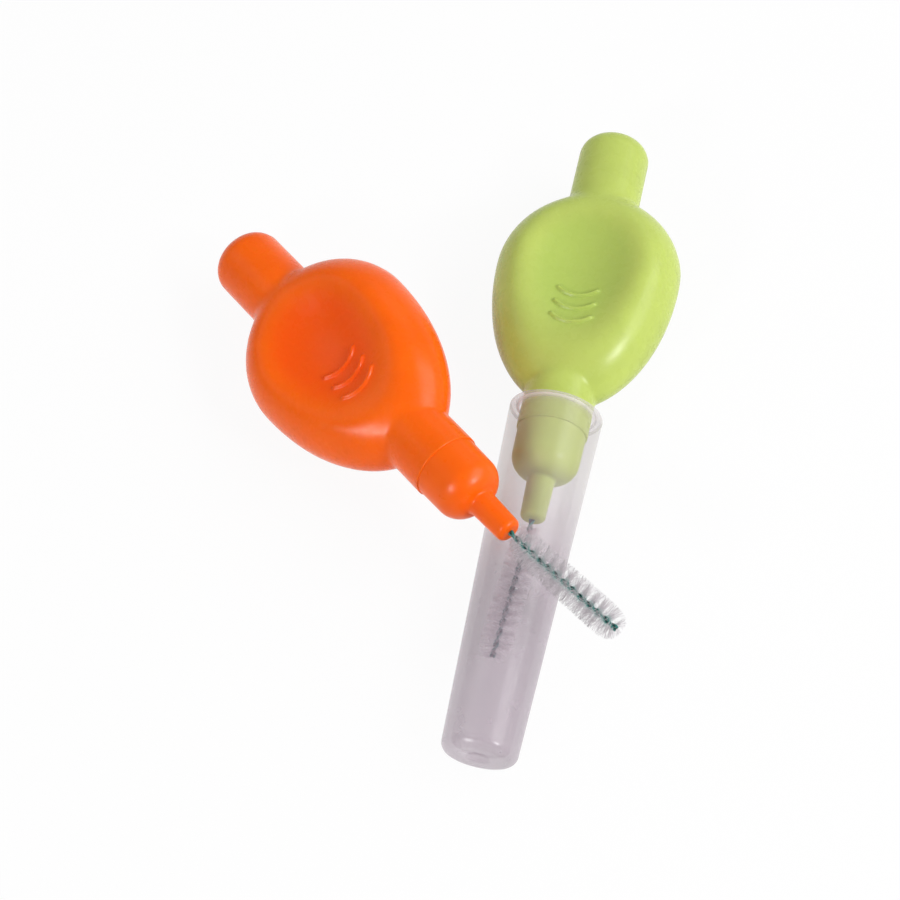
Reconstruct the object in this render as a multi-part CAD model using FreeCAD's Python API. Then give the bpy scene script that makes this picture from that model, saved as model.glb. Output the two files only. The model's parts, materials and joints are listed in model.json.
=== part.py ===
import FreeCAD, Part
import math
import os

Vec = FreeCAD.Vector

# A pair of interdental brushes: one wears its travel cap, the other lies bare across that cap.
# Each brush is drawn along X: X = 0 is the widest section of the bulb.
# The tail lies on -X, the brush on +X, and the thumb rest faces +Z.
# All sizes are in millimetres and degrees.

# Grip
bulb_width = 20.9
bulb_thickness = 14.0
bulb_tail_reach = 10.2
bulb_neck_reach = 17.0
tail_diameter = 8.1
tail_length = 18.6
tail_end_round = 2.3
neck_diameter = 7.8
neck_length = 20.4
neck_edge_round = 0.12
root_swell = 0.1
root_margin = 0.4

# Thumb rest, one on each face of the bulb
rest_width = 14.9
rest_tail_reach = 8.0
rest_neck_reach = 12.8
rest_centre = 0.8
rest_floor_height = 3.3
rest_depth_reach = 6.2
rest_lip_round = 0.7
tail_root_round = 0.9

# Curved ridges in the thumb rest
ridge_count = 3
ridge_first = 4.6
ridge_spacing = 1.95
ridge_radius = 3.6
ridge_sweep = 84.0
ridge_width = 0.5
ridge_height = 0.28

# Nose
nose_step = 0.15
nose_draft = 0.1
nose_length = 5.7
nose_round = 2.4
nipple_root_diameter = 3.0
nipple_tip_diameter = 2.7
nipple_length = 4.9
nipple_root_round = 0.35
nipple_tip_round = 0.6
sleeve_wall = 1.4
plug_length = 9.0
barb_height = 0.5
barb_length = 1.3
barb_count = 2
mould_gap = 0.02

# Stem: one wire folded at its middle and twisted
strand_diameter = 0.25
strand_gap = 0.10
stem_pitch = 2.4
stem_reach = 15.8
stem_anchor = 8.6
fold_run = 1.2
stem_bend_run = 3.0
stem_seat_gap = 0.03

# Filaments
filament_thickness = 0.07
filament_spacing = 0.16
bristle_diameter = 3.5
bristle_start = 1.3
bristle_end_margin = 0.2
bristle_tip_round = 1.9

# Travel cap
cap_rim = 17.8
cap_length = 39.8
cap_rim_wall = 1.21
cap_end_diameter = 7.8
cap_end_round = 1.1
cap_edge_round = 0.3
cap_end_wall = 1.0
cap_side_wall = 0.85
cap_land_length = 3.4
cap_lead_in = 0.35
cap_fit_gap = 0.04
cap_floor_round = 0.7
gate_diameter = 2.6
gate_depth = 0.3

# How the pair lies
capped_roll = 8.0
capped_bend = 3.5
capped_bend_side = 180.0
open_roll = 27.0
open_bend = 5.0
open_bend_side = 40.0
crossing_angle = 50.7
crossing_on_cap = 37.4
crossing_on_open = 32.8
crossing_gap = 0.3

# Sizes that follow
tail_radius = tail_diameter / 2
neck_radius = neck_diameter / 2
tail_crease = bulb_tail_reach * math.sqrt(1 - (tail_diameter / bulb_width) ** 2)
neck_crease = bulb_neck_reach * math.sqrt(1 - (neck_diameter / bulb_width) ** 2)
tail_straight = tail_crease + tail_root_round + root_margin
neck_straight = neck_crease + root_margin
nose_base_radius = neck_radius - nose_step
nose_front_radius = nose_base_radius - nose_draft
nose_end = neck_length + nose_length
plug_radius = neck_radius - sleeve_wall
barb_radius = plug_radius + barb_height
nipple_end = nose_end + nipple_length
stem_fold = nipple_end - stem_anchor
stem_end = nipple_end + stem_reach
strand_offset = (strand_diameter + strand_gap) / 2
stem_radius = strand_offset + strand_diameter / 2
stem_bore_radius = stem_radius + stem_seat_gap
cap_end = cap_rim + cap_length
cap_land_radius = neck_radius + cap_fit_gap
cap_rim_radius = cap_land_radius + cap_rim_wall
cap_floor_radius = cap_end_diameter / 2 - cap_side_wall


# Helpers

def revolved(steps):
    """Solid of revolution about X from a chain of (x, r) points.

    A step of four numbers is an arc: its middle, then its end.
    """
    start = Vec(steps[0][0], steps[0][1], 0)
    edges = []
    here = start
    for step in steps[1:]:
        there = Vec(step[-2], step[-1], 0)
        if len(step) == 4:
            edges.append(Part.Arc(here, Vec(step[0], step[1], 0), there).toShape())
        else:
            edges.append(Part.makeLine(here, there))
        here = there
    edges.append(Part.makeLine(here, start))
    face = Part.Face(Part.Wire(edges))
    return face.revolve(Vec(0, 0, 0), Vec(1, 0, 0), 360)


def corner(x, r, size, x_side, r_side):
    """Middle of a quarter-circle corner whose centre lies at (x, r)."""
    middle = size * math.sqrt(0.5)
    return x + x_side * middle, r + r_side * middle


def egg(tail_reach, neck_reach, width, thickness):
    """Egg of two half ellipsoids that share their widest section at X = 0."""
    radius = width / 2
    ball = Part.makeSphere(radius, Vec(0, 0, 0), Vec(1, 0, 0))
    halves = []
    for reach, side in ((tail_reach, -1), (neck_reach, 1)):
        box = Part.makeBox(radius, width, width, Vec(min(side, 0) * radius, -radius, -radius))
        scale = FreeCAD.Matrix()
        scale.scale(reach / radius, 1, thickness / width)
        halves.append(ball.common(box).transformGeometry(scale))
    return halves[0].fuse(halves[1]).removeSplitter()


def mirrored(shape):
    return shape.mirror(Vec(0, 0, 0), Vec(0, 0, 1))


def egg_level(point, tail_reach, neck_reach, width, thickness):
    """1 on the surface of an egg, less inside it."""
    reach = tail_reach if point.x < 0 else neck_reach
    return math.sqrt((point.x / reach) ** 2 + (2 * point.y / width) ** 2 + (2 * point.z / thickness) ** 2)


def edge_middle(edge):
    return edge.valueAt((edge.FirstParameter + edge.LastParameter) / 2)


# Grip

def rest_cutter(inset):
    """Egg that scoops the upper thumb rest, drawn in by the inset."""
    reach = rest_depth_reach - inset
    shape = egg(rest_tail_reach - inset, rest_neck_reach - inset, rest_width - 2 * inset, 2 * reach)
    shape.translate(Vec(rest_centre, 0, rest_floor_height + rest_depth_reach))
    return shape


def ridges():
    """Curved ribs that stand up from the floor of the upper thumb rest."""
    top = rest_cutter(ridge_height)
    shapes = []
    for i in range(ridge_count):
        x = ridge_first + i * ridge_spacing - ridge_radius
        foot = Vec(x, 0, 0)
        height = bulb_thickness / 2
        outer = Part.makeCylinder(ridge_radius + ridge_width / 2, height, foot, Vec(0, 0, 1), ridge_sweep)
        inner = Part.makeCylinder(ridge_radius - ridge_width / 2, height, foot, Vec(0, 0, 1))
        rib = outer.cut(inner)
        rib.rotate(foot, Vec(0, 0, 1), -ridge_sweep / 2)
        shapes.append(rib.cut(top))
    return shapes


def on_bulb(point):
    return abs(egg_level(point, bulb_tail_reach, bulb_neck_reach, bulb_width, bulb_thickness) - 1) < 1e-3


def on_rest_lip(edge):
    """True for an edge where a thumb rest meets the bulb."""
    point = edge_middle(edge)
    level = Vec(point.x - rest_centre, point.y, rest_floor_height + rest_depth_reach - abs(point.z))
    share = egg_level(level, rest_tail_reach, rest_neck_reach, rest_width, 2 * rest_depth_reach)
    return abs(share - 1) < 1e-3 and on_bulb(point)


def on_tail_root(edge):
    """True for an edge where the tail meets the bulb."""
    point = edge_middle(edge)
    above = math.hypot(point.y, point.z) - tail_radius
    return point.x < 0 and on_bulb(point) and -1e-3 < above < root_swell


def barb_span(i):
    """Ends of one barb along X, counted from the back of the plug."""
    back = neck_length - plug_length + (2 * i + 1) * barb_length
    return back, back + barb_length


def plug_outline(gap):
    """Half outline of the plug with its barbs, widened by the gap."""
    steps = [(neck_length - plug_length - gap, 0)]
    steps.append((neck_length - plug_length - gap, plug_radius + gap))
    for i in range(barb_count):
        back, front = barb_span(i)
        steps.append((back - gap, plug_radius + gap))
        steps.append((front + gap, barb_radius + gap))
        steps.append((front + gap, plug_radius + gap))
    return steps


def grip():
    flat = tail_radius - tail_end_round
    end_mid = corner(tail_end_round - tail_length, flat, tail_end_round, -1, 1)
    edge_mid = corner(neck_length - neck_edge_round, neck_radius - neck_edge_round, neck_edge_round, 1, 1)
    spine = revolved([
        (-tail_length, 0),
        (-tail_length, flat),
        (end_mid[0], end_mid[1], tail_end_round - tail_length, tail_radius),
        (-tail_straight, tail_radius),
        (0, tail_radius + root_swell),
        (0, neck_radius + root_swell),
        (neck_straight, neck_radius),
        (neck_length - neck_edge_round, neck_radius),
        (edge_mid[0], edge_mid[1], neck_length, neck_radius - neck_edge_round),
        (neck_length, 0),
    ])
    body = egg(bulb_tail_reach, bulb_neck_reach, bulb_width, bulb_thickness).fuse(spine)
    scoop = rest_cutter(0)
    body = body.cut([scoop, mirrored(scoop)])
    body = body.makeFillet(tail_root_round, [edge for edge in body.Edges if on_tail_root(edge)])
    body = body.makeFillet(rest_lip_round, [edge for edge in body.Edges if on_rest_lip(edge)])
    upper = ridges()
    body = body.fuse(upper + [mirrored(rib) for rib in upper])
    socket = plug_outline(mould_gap)
    socket.append((neck_length + 1, plug_radius + mould_gap))
    socket.append((neck_length + 1, 0))
    return body.cut(revolved(socket))


# Nose

def nose_shoulder():
    """Round of the nose and the hollow round at the foot of the nipple."""
    root = nipple_root_diameter / 2
    x = nose_end - nose_round
    r = nose_front_radius - nose_round
    foot = root + nipple_root_round
    if r >= foot:
        round_mid = corner(x, r, nose_round, 1, 1)
        root_mid = corner(nose_end + nipple_root_round, foot, nipple_root_round, -1, -1)
        return [
            (round_mid[0], round_mid[1], nose_end, r),
            (nose_end, foot),
            (root_mid[0], root_mid[1], nose_end + nipple_root_round, root),
        ]
    reach = nose_round + nipple_root_round
    slope = math.asin((foot - r) / reach)
    half = (slope + math.pi / 2) / 2
    root_x = x + reach * math.cos(slope)
    return [
        (x + nose_round * math.cos(half), r + nose_round * math.sin(half),
         x + nose_round * math.cos(slope), r + nose_round * math.sin(slope)),
        (root_x - nipple_root_round * math.cos(half), foot - nipple_root_round * math.sin(half),
         root_x, root),
    ]


def nose():
    tip = nipple_tip_diameter / 2
    base = neck_length + mould_gap
    tip_mid = corner(nipple_end - nipple_tip_round, tip - nipple_tip_round, nipple_tip_round, 1, 1)
    steps = plug_outline(0)
    steps += [
        (base, plug_radius),
        (base, nose_base_radius),
        (nose_end - nose_round, nose_front_radius),
    ]
    steps += nose_shoulder()
    steps += [
        (nipple_end - nipple_tip_round, tip),
        (tip_mid[0], tip_mid[1], nipple_end, tip - nipple_tip_round),
        (nipple_end, 0),
    ]
    hole_back = stem_fold - stem_radius - stem_seat_gap
    hole_length = nipple_end + 1 - hole_back
    hole = Part.makeCylinder(stem_bore_radius, hole_length, Vec(hole_back, 0, 0), Vec(1, 0, 0))
    return revolved(steps).cut(hole)


# Stem

def stem_frame(x, bend, side):
    """Centre, direction and two cross directions of the stem, x being its length from the bulb's centre."""
    along = Vec(1, 0, 0)
    lean = Vec(0, math.cos(math.radians(side)), math.sin(math.radians(side)))
    across = along.cross(lean)
    full = math.radians(bend)
    run = min(max(x - nipple_end, 0), stem_bend_run)
    angle = full * run / stem_bend_run
    radius = stem_bend_run / full
    beyond = max(x - nipple_end - stem_bend_run, 0)
    direction = along * math.cos(angle) + lean * math.sin(angle)
    centre = along * min(x, nipple_end)
    centre = centre + along * (radius * math.sin(angle)) + lean * (radius * (1 - math.cos(angle)))
    centre = centre + direction * beyond
    return centre, direction, lean * math.cos(angle) - along * math.sin(angle), across


def twist(x):
    """Angle of the twist in radians; it eases to nothing at the fold."""
    run = x - stem_fold
    eased = run * run / (2 * fold_run) if run < fold_run else run - fold_run / 2
    return 2 * math.pi * eased / stem_pitch


def strand_point(x, half, bend, side):
    centre, direction, first, second = stem_frame(x, bend, side)
    angle = twist(x) + half * math.pi
    return centre + (first * math.cos(angle) + second * math.sin(angle)) * strand_offset


def strand_tangent(x, half, bend, side):
    step = 1e-4
    chord = strand_point(x + step, half, bend, side) - strand_point(x - step, half, bend, side)
    return chord.normalize()


def arc(start, heading, end):
    """Arc that leaves the start along the heading and reaches the end."""
    chord = end - start
    normal = chord - heading * chord.dot(heading)
    if normal.Length < 1e-7 * chord.Length:
        return Part.makeLine(start, end)
    normal.normalize()
    radius = chord.dot(chord) / (2 * chord.dot(normal))
    half = math.atan2(chord.dot(normal), chord.dot(heading))
    centre = start + normal * radius
    middle = centre + (heading * math.sin(half) - normal * math.cos(half)) * radius
    return Part.Arc(start, middle, end).toShape()


def biarc(start, heading, end, arrival):
    """Two arcs that meet smoothly, from a start and its heading to an end and its arrival direction."""
    chord = end - start
    both = heading + arrival
    spread = 2 * (1 - heading.dot(arrival))
    reach = chord.dot(both)
    reach = (math.sqrt(reach * reach + spread * chord.dot(chord)) - reach) / spread
    first = start + heading * reach
    second = end - arrival * reach
    joint = (first + second) / 2
    return [arc(start, heading, joint), arc(joint, (second - first).normalize(), end)]


def strand_stations():
    """Places along the stem, from the fold to the tip, a quarter turn apart."""
    quarters = max(4, math.ceil((stem_end - stem_fold - fold_run) / (stem_pitch / 4)))
    eased = [stem_fold, stem_fold + fold_run / 2]
    step = (stem_end - stem_fold - fold_run) / quarters
    return eased + [stem_fold + fold_run + i * step for i in range(quarters + 1)]


def stem(bend, side):
    stations = strand_stations()
    edges = []
    for a, b in zip(stations[:0:-1], stations[-2::-1]):
        edges += biarc(strand_point(a, 0, bend, side), strand_tangent(a, 0, bend, side) * -1,
                       strand_point(b, 0, bend, side), strand_tangent(b, 0, bend, side) * -1)
    turn = Vec(stem_fold - strand_offset, 0, 0)
    fold = Part.Arc(strand_point(stem_fold, 0, bend, side), turn, strand_point(stem_fold, 1, bend, side))
    edges.append(fold.toShape())
    for a, b in zip(stations, stations[1:]):
        edges += biarc(strand_point(a, 1, bend, side), strand_tangent(a, 1, bend, side),
                       strand_point(b, 1, bend, side), strand_tangent(b, 1, bend, side))
    tip = strand_point(stem_end, 0, bend, side)
    section = Part.Wire(Part.makeCircle(strand_diameter / 2, tip, strand_tangent(stem_end, 0, bend, side)))
    return Part.Wire(edges).makePipeShell([section], True, False)


# Filaments

def bristle_reach(x):
    """Half length of a filament; the rows shorten along a round at the tip."""
    past = x - (stem_end - bristle_end_margin - bristle_tip_round)
    drop = 0
    if past > 0:
        drop = bristle_tip_round - math.sqrt(max(bristle_tip_round ** 2 - past ** 2, 0))
    return max(bristle_diameter / 2 - drop, stem_radius + strand_diameter)


def filament(x, bend, side):
    """Six-sided rod through the gap between the strands."""
    centre, direction, first, second = stem_frame(x, bend, side)
    angle = twist(x)
    run = second * math.cos(angle) - first * math.sin(angle)
    flat = first * math.cos(angle) + second * math.sin(angle)
    reach = bristle_reach(x)
    foot = centre - run * reach
    corner_radius = filament_thickness / math.sqrt(3)
    points = []
    for i in range(6):
        turn = math.radians(60 * i + 30)
        points.append(foot + (flat * math.cos(turn) + direction * math.sin(turn)) * corner_radius)
    face = Part.Face(Part.makePolygon(points + points[:1]))
    return face.extrude(run * (2 * reach))


def bristles(bend, side):
    first = nipple_end + bristle_start
    span = stem_end - bristle_end_margin - first
    count = max(2, round(span / filament_spacing))
    return Part.makeCompound([filament(first + span * i / count, bend, side) for i in range(count + 1)])


# Travel cap

def cap():
    rim = cap_rim_radius
    end = cap_end_diameter / 2
    slope = math.atan2(rim - end, cap_length)
    floor = cap_end - cap_end_wall
    land = cap_rim + cap_land_length
    lean = slope / 2 + math.pi / 4
    end_mid = (cap_end - cap_end_round * (1 - math.cos(lean)), end - cap_end_round * (1 - math.sin(lean)))
    rim_mid = corner(cap_rim + cap_edge_round, rim - cap_edge_round, cap_edge_round, -1, 1)
    floor_mid = corner(floor - cap_floor_round, cap_floor_radius - cap_floor_round, cap_floor_round, 1, 1)
    gate = gate_diameter / 2
    return revolved([
        (floor, 0),
        (floor, cap_floor_radius - cap_floor_round),
        (floor_mid[0], floor_mid[1], floor - cap_floor_round, cap_floor_radius),
        (land, cap_land_radius),
        (cap_rim + cap_lead_in, cap_land_radius),
        (cap_rim, cap_land_radius + cap_lead_in),
        (cap_rim, rim - cap_edge_round),
        (rim_mid[0], rim_mid[1], cap_rim + cap_edge_round, rim),
        (cap_end - cap_end_round, end),
        (end_mid[0], end_mid[1], cap_end, end - cap_end_round),
        (cap_end, gate),
        (cap_end - gate_depth, gate - gate_depth),
        (cap_end - gate_depth, 0),
    ])


# How the pair lies: each brush is rolled about its axis, tilted and turned, then lowered on to the floor

def placed(shape, roll, tilt, heading, at):
    turn = FreeCAD.Rotation(Vec(0, 0, 1), heading)
    turn = turn.multiply(FreeCAD.Rotation(Vec(0, 1, 0), -tilt))
    turn = turn.multiply(FreeCAD.Rotation(Vec(1, 0, 0), roll))
    copy = shape.copy()
    copy.Placement = FreeCAD.Placement(at, turn).multiply(shape.Placement)
    return copy


def lowest(shape):
    return shape.optimalBoundingBox(False).ZMin


def capped_pose(grip_shape, cap_shape):
    """Tilt and height at which the bulb and the end of the cap both touch the floor."""
    tilt = 0
    for _ in range(6):
        bulb = lowest(placed(grip_shape, capped_roll, tilt, 0, Vec(0, 0, 0)))
        end = lowest(placed(cap_shape, capped_roll, tilt, 0, Vec(0, 0, 0)))
        tilt -= math.degrees(math.atan2(end - bulb, cap_end))
    return tilt, -bulb


def open_pose(grip_shape, crest):
    """Tilt and height at which the bulb touches the floor and the axis passes over the cap at the crest."""
    tilt = 0
    for _ in range(6):
        height = -lowest(placed(grip_shape, open_roll, tilt, 0, Vec(0, 0, 0)))
        tilt = math.degrees(math.asin((crest - height) / crossing_on_open))
    return tilt, height


grip_shape = grip()
nose_shape = nose()
cap_shape = cap()

capped_tilt, capped_height = capped_pose(grip_shape, cap_shape)
cap_axis_height = capped_height + crossing_on_cap * math.sin(math.radians(capped_tilt))
crest_height = cap_axis_height + cap_rim_radius + bristle_diameter / 2 + crossing_gap
open_tilt, open_height = open_pose(grip_shape, crest_height)

capped_heading = -90
open_heading = capped_heading + crossing_angle
capped_run = crossing_on_cap * math.cos(math.radians(capped_tilt))
open_run = crossing_on_open * math.cos(math.radians(open_tilt))
open_away = math.radians(open_heading)
capped_at = Vec(0, 0, capped_height)
open_at = Vec(-open_run * math.cos(open_away), -capped_run - open_run * math.sin(open_away), open_height)

capped = {
    "capped_grip": grip_shape,
    "capped_nose": nose_shape,
    "capped_stem": stem(capped_bend, capped_bend_side),
    "capped_bristles": bristles(capped_bend, capped_bend_side),
    "travel_cap": cap_shape,
}
open_brush = {
    "open_grip": grip_shape,
    "open_nose": nose_shape,
    "open_stem": stem(open_bend, open_bend_side),
    "open_bristles": bristles(open_bend, open_bend_side),
}

pieces = {}
for name, shape in capped.items():
    pieces[name] = placed(shape, capped_roll, capped_tilt, capped_heading, capped_at)
for name, shape in open_brush.items():
    pieces[name] = placed(shape, open_roll, open_tilt, open_heading, open_at)

# The origin is the middle of the pair's footprint, on the floor
box = Part.makeCompound(list(pieces.values())).optimalBoundingBox(False)
origin = Vec((box.XMin + box.XMax) / 2, (box.YMin + box.YMax) / 2, box.ZMin)

os.makedirs("parts", exist_ok=True)
for name, shape in pieces.items():
    shape.translate(origin * -1)
    shape.exportStep("parts/" + name + ".step")
    print(name, "solids", len(shape.Solids), "valid", shape.isValid(), "volume", round(shape.Volume, 3))

print("capped brush: tilt", round(capped_tilt, 3), "at", capped_at - origin)
print("open brush: tilt", round(open_tilt, 3), "heading", open_heading, "at", open_at - origin)
print("box", round(box.XLength, 3), round(box.YLength, 3), round(box.ZLength, 3))
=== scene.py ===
import json
import math
import random
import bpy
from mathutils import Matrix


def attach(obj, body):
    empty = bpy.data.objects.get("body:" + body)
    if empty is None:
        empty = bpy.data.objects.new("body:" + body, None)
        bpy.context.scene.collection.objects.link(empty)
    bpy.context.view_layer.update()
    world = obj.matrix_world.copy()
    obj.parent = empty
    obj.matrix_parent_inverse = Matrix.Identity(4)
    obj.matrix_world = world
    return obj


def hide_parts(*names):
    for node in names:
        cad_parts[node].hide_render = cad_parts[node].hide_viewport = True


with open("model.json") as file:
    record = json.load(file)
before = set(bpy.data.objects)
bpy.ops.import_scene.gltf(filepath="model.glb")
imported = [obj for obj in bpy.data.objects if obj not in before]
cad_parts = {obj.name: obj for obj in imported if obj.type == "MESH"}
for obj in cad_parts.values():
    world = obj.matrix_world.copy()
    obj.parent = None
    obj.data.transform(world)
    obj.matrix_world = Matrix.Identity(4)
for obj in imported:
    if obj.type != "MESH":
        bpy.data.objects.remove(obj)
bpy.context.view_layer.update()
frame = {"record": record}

from types import SimpleNamespace

import bmesh
import bpy
from bpy.props import FloatProperty, FloatVectorProperty, IntProperty, PointerProperty
from mathutils import Matrix, Vector

bl_info = {
    "name": "Interdental Brush Pair",
    "version": (1, 0, 0),
    "blender": (4, 5, 0),
    "location": "View3D > Sidebar > Brush Pair",
    "description": "Two interdental brushes with soft grips, one of them in its frosted travel cap",
    "category": "Object",
}

MOUNTS = {mount["name"]: mount for mount in frame["record"]["mounts"]}
TURN = 2 * math.pi
MM_PER_METRE = 1000


# Settings

def coordinate(name, description, default, **limits):
    return FloatProperty(name=name, description=description, default=default, unit="LENGTH", precision=5,
                         **limits)


def length(name, description, default):
    return coordinate(name, description, default, min=0.0)


def angle(name, description, degrees):
    return FloatProperty(name=name, description=description, default=math.radians(degrees),
                         unit="ROTATION")


def share(name, description, default):
    return FloatProperty(name=name, description=description, default=default, min=0.0, max=1.0,
                         subtype="FACTOR")


def power(name, description, default):
    return FloatProperty(name=name, description=description, default=default, min=0.0, unit="POWER")


def colour(name, description, default):
    return FloatVectorProperty(name=name, description=description, default=default, size=3,
                               min=0.0, max=1.0, subtype="COLOR")


class BrushSettings(bpy.types.PropertyGroup):
    """Sizes of one brush; both brushes share them"""
    bulb_width: length("Bulb width", "Width of the bulb at its widest section", 0.0209)
    bulb_thickness: length("Bulb thickness", "Thickness of the bulb without its thumb rests", 0.0140)
    bulb_tail_reach: length("Bulb to tail", "Reach of the bulb toward the tail", 0.0102)
    bulb_neck_reach: length("Bulb to neck", "Reach of the bulb toward the neck", 0.0170)
    tail_diameter: length("Tail diameter", "Diameter of the tail", 0.0081)
    tail_length: length("Tail length", "From the widest section to the end of the tail", 0.0186)
    tail_end_round: length("Tail end round", "Round at the end of the tail", 0.0023)
    tail_root_round: length("Tail root round", "Softness of the crease between tail and bulb", 0.0012)
    neck_diameter: length("Neck diameter", "Diameter of the neck", 0.0078)
    neck_length: length("Neck length", "From the widest section to the ring line", 0.0204)
    neck_edge_round: length("Neck edge round", "Round at the edge of the neck", 0.00014)
    neck_root_round: length("Neck root round", "Softness of the crease between neck and bulb", 0.0005)
    rest_width: length("Rest width", "Width of the bowl of a thumb rest", 0.0160)
    rest_tail_reach: length("Rest to tail", "Reach of the bowl toward the tail", 0.0100)
    rest_neck_reach: length("Rest to neck", "Reach of the bowl toward the neck", 0.0132)
    rest_centre: coordinate("Rest centre", "Middle of the bowl along the brush", 0.0008)
    rest_floor_height: length("Rest floor height", "Height of the floor of the rest over the axis", 0.0033)
    rest_depth_reach: length("Rest depth", "Height that sets how fast the bowl steepens", 0.0062)
    rest_lip_round: length("Rest lip round", "Softness of the lip of a rest", 0.0040)
    ridge_count: IntProperty(name="Ridges", description="Curved ridges in each rest", default=3, min=0)
    ridge_first: length("First ridge", "Place of the first ridge along the brush", 0.0048)
    ridge_spacing: length("Ridge spacing", "From one ridge to the next", 0.0019)
    ridge_radius: length("Ridge radius", "Radius of a ridge's arc", 0.0034)
    ridge_sweep: angle("Ridge sweep", "Angle that a ridge's arc covers", 92)
    ridge_width: length("Ridge width", "Width of a ridge", 0.0006)
    ridge_height: length("Ridge height", "Height of a ridge", 0.00033)
    seam_height: length("Seam height", "Height of the mould's parting line along the sides", 0.00003)
    nose_step: length("Nose step", "How far the nose sits inside the face of the neck", 0.00015)
    nose_draft: length("Nose draft", "How much the nose narrows to its shoulder", 0.0001)
    nose_length: length("Nose length", "From the ring line to the foot of the nipple", 0.0057)
    nose_round: length("Nose round", "Round of the shoulder", 0.0024)
    nipple_root_diameter: length("Nipple root", "Diameter of the nipple at its foot", 0.0030)
    nipple_tip_diameter: length("Nipple tip", "Diameter of the nipple at its tip", 0.0027)
    nipple_length: length("Nipple length", "Length of the nipple", 0.0049)
    nipple_root_round: length("Nipple root round", "Hollow round at the foot of the nipple", 0.00035)
    nipple_tip_round: length("Nipple tip round", "Round at the tip of the nipple", 0.0006)
    strand_diameter: length("Strand diameter", "Diameter of each strand of the twisted wire", 0.00031)
    strand_gap: length("Strand gap", "Gap between the strands that holds the filaments", 0.00002)
    stem_pitch: length("Twist pitch", "Length of one full twist of the wire", 0.0024)
    stem_reach: length("Stem reach", "Length of the wire beyond the nipple", 0.0158)
    stem_sunk: length("Stem sunk", "Length of the wire shown inside the nipple", 0.0012)
    stem_bend_run: length("Bend length", "Length of wire over which the stem bends", 0.0030)
    filament_thickness: length("Filament thickness", "Thickness of a filament", 0.00003)
    filament_spacing: length("Filament spacing", "Mean step from one filament to the next", 0.0000135)
    bristle_diameter: length("Brush diameter", "Diameter of the brush over its filaments", 0.0035)
    bristle_start: length("Brush start", "From the nipple to the first filament", 0.0008)
    bristle_tip_round: length("Brush tip round", "Round of the brush at its tip", 0.0019)
    bristle_foot_round: length("Brush foot round", "Round of the brush next to the nipple", 0.0016)


class CapSettings(bpy.types.PropertyGroup):
    """Sizes of the travel cap"""
    rim_place: length("Rim place", "From the widest section of the bulb to the rim of the cap", 0.0178)
    cap_length: length("Length", "Length of the cap", 0.0398)
    rim_wall: length("Rim wall", "Wall of the cap around the neck", 0.00121)
    end_diameter: length("End diameter", "Diameter at the closed end", 0.0078)
    end_round: length("End round", "Round at the closed end", 0.0011)
    edge_round: length("Edge round", "Round at the rim", 0.0003)
    end_wall: length("End wall", "Thickness of the closed end", 0.0010)
    side_wall: length("Side wall", "Wall at the closed end", 0.00085)
    land_length: length("Land length", "Length of the straight seat on the neck", 0.0034)
    lead_in: length("Lead in", "Chamfer inside the rim", 0.00035)
    fit_gap: length("Fit gap", "Gap between cap and neck", 0.00004)
    floor_round: length("Floor round", "Round of the inner floor", 0.0007)
    gate_diameter: length("Gate diameter", "Diameter of the dimple in the closed end", 0.0026)
    gate_depth: length("Gate depth", "Depth of the dimple", 0.0003)


class PairSettings(bpy.types.PropertyGroup):
    """How the two brushes lie"""
    capped_roll: angle("Capped roll", "Roll of the capped brush about its axis", 8)
    capped_bend: angle("Capped bend", "Bend of the capped brush's wire", 3.5)
    capped_bend_side: angle("Capped bend side", "Side to which that wire bends", 180)
    open_roll: angle("Open roll", "Roll of the open brush about its axis", 27)
    open_bend: angle("Open bend", "Bend of the open brush's wire", 5)
    open_bend_side: angle("Open bend side", "Side to which that wire bends", 40)


class FinishSettings(bpy.types.PropertyGroup):
    """Colours and finish of the pieces"""
    # Each grip's tone in the rests is painted shade: darker where less light falls into a thumb rest.
    orange: colour("Orange", "Soft plastic of the open brush", (1.0, 0.130, 0.0012))
    orange_deep: colour("Orange in the rests", "Tone in the open brush's rests", (0.95, 0.084, 0.0004))
    lime: colour("Lime", "Soft plastic of the capped brush", (0.505, 0.61, 0.138))
    lime_deep: colour("Lime in the rests", "Tone in the capped brush's rests", (0.42, 0.55, 0.115))
    grip_roughness: share("Grip roughness", "Mean roughness of the soft grips", 0.28)
    wire: colour("Wire", "Coating of the twisted wire", (0.018, 0.240, 0.210))
    # The wire's tone in the twist is painted shade in the grooves between the strands.
    wire_deep: colour("Wire in the twist", "Coating in the grooves of the twist", (0.002, 0.034, 0.030))
    filament: colour("Filament", "Nylon of the filaments", (0.64, 0.595, 0.625))
    # The filaments inside the cap get painted light: a paler tone that stands in for the light the frosted
    # cap lets through.
    filament_cap_lit: colour("Filament in the cap", "Nylon that is lit through the cap", (0.97, 0.93, 0.955))
    filament_root: colour("Filament at the wire", "Nylon next to the coated wire", (0.50, 0.74, 0.70))
    filament_cap_light_share: share("Filament veil", "How far the filaments in the cap take their pale tone", 0.85)
    cap: colour("Cap", "Frosted plastic of the travel cap", (0.37, 0.284, 0.348))
    cap_rim: colour("Cap round the neck", "Frosted plastic near the rim of the cap", (0.51, 0.425, 0.465))
    # The cap's edge tone is a painted highlight, whiter and less clear along the rim and the inner floor.
    cap_edge: colour("Cap edges", "Whitened edges of the cap", (0.93, 0.91, 0.92))


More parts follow.
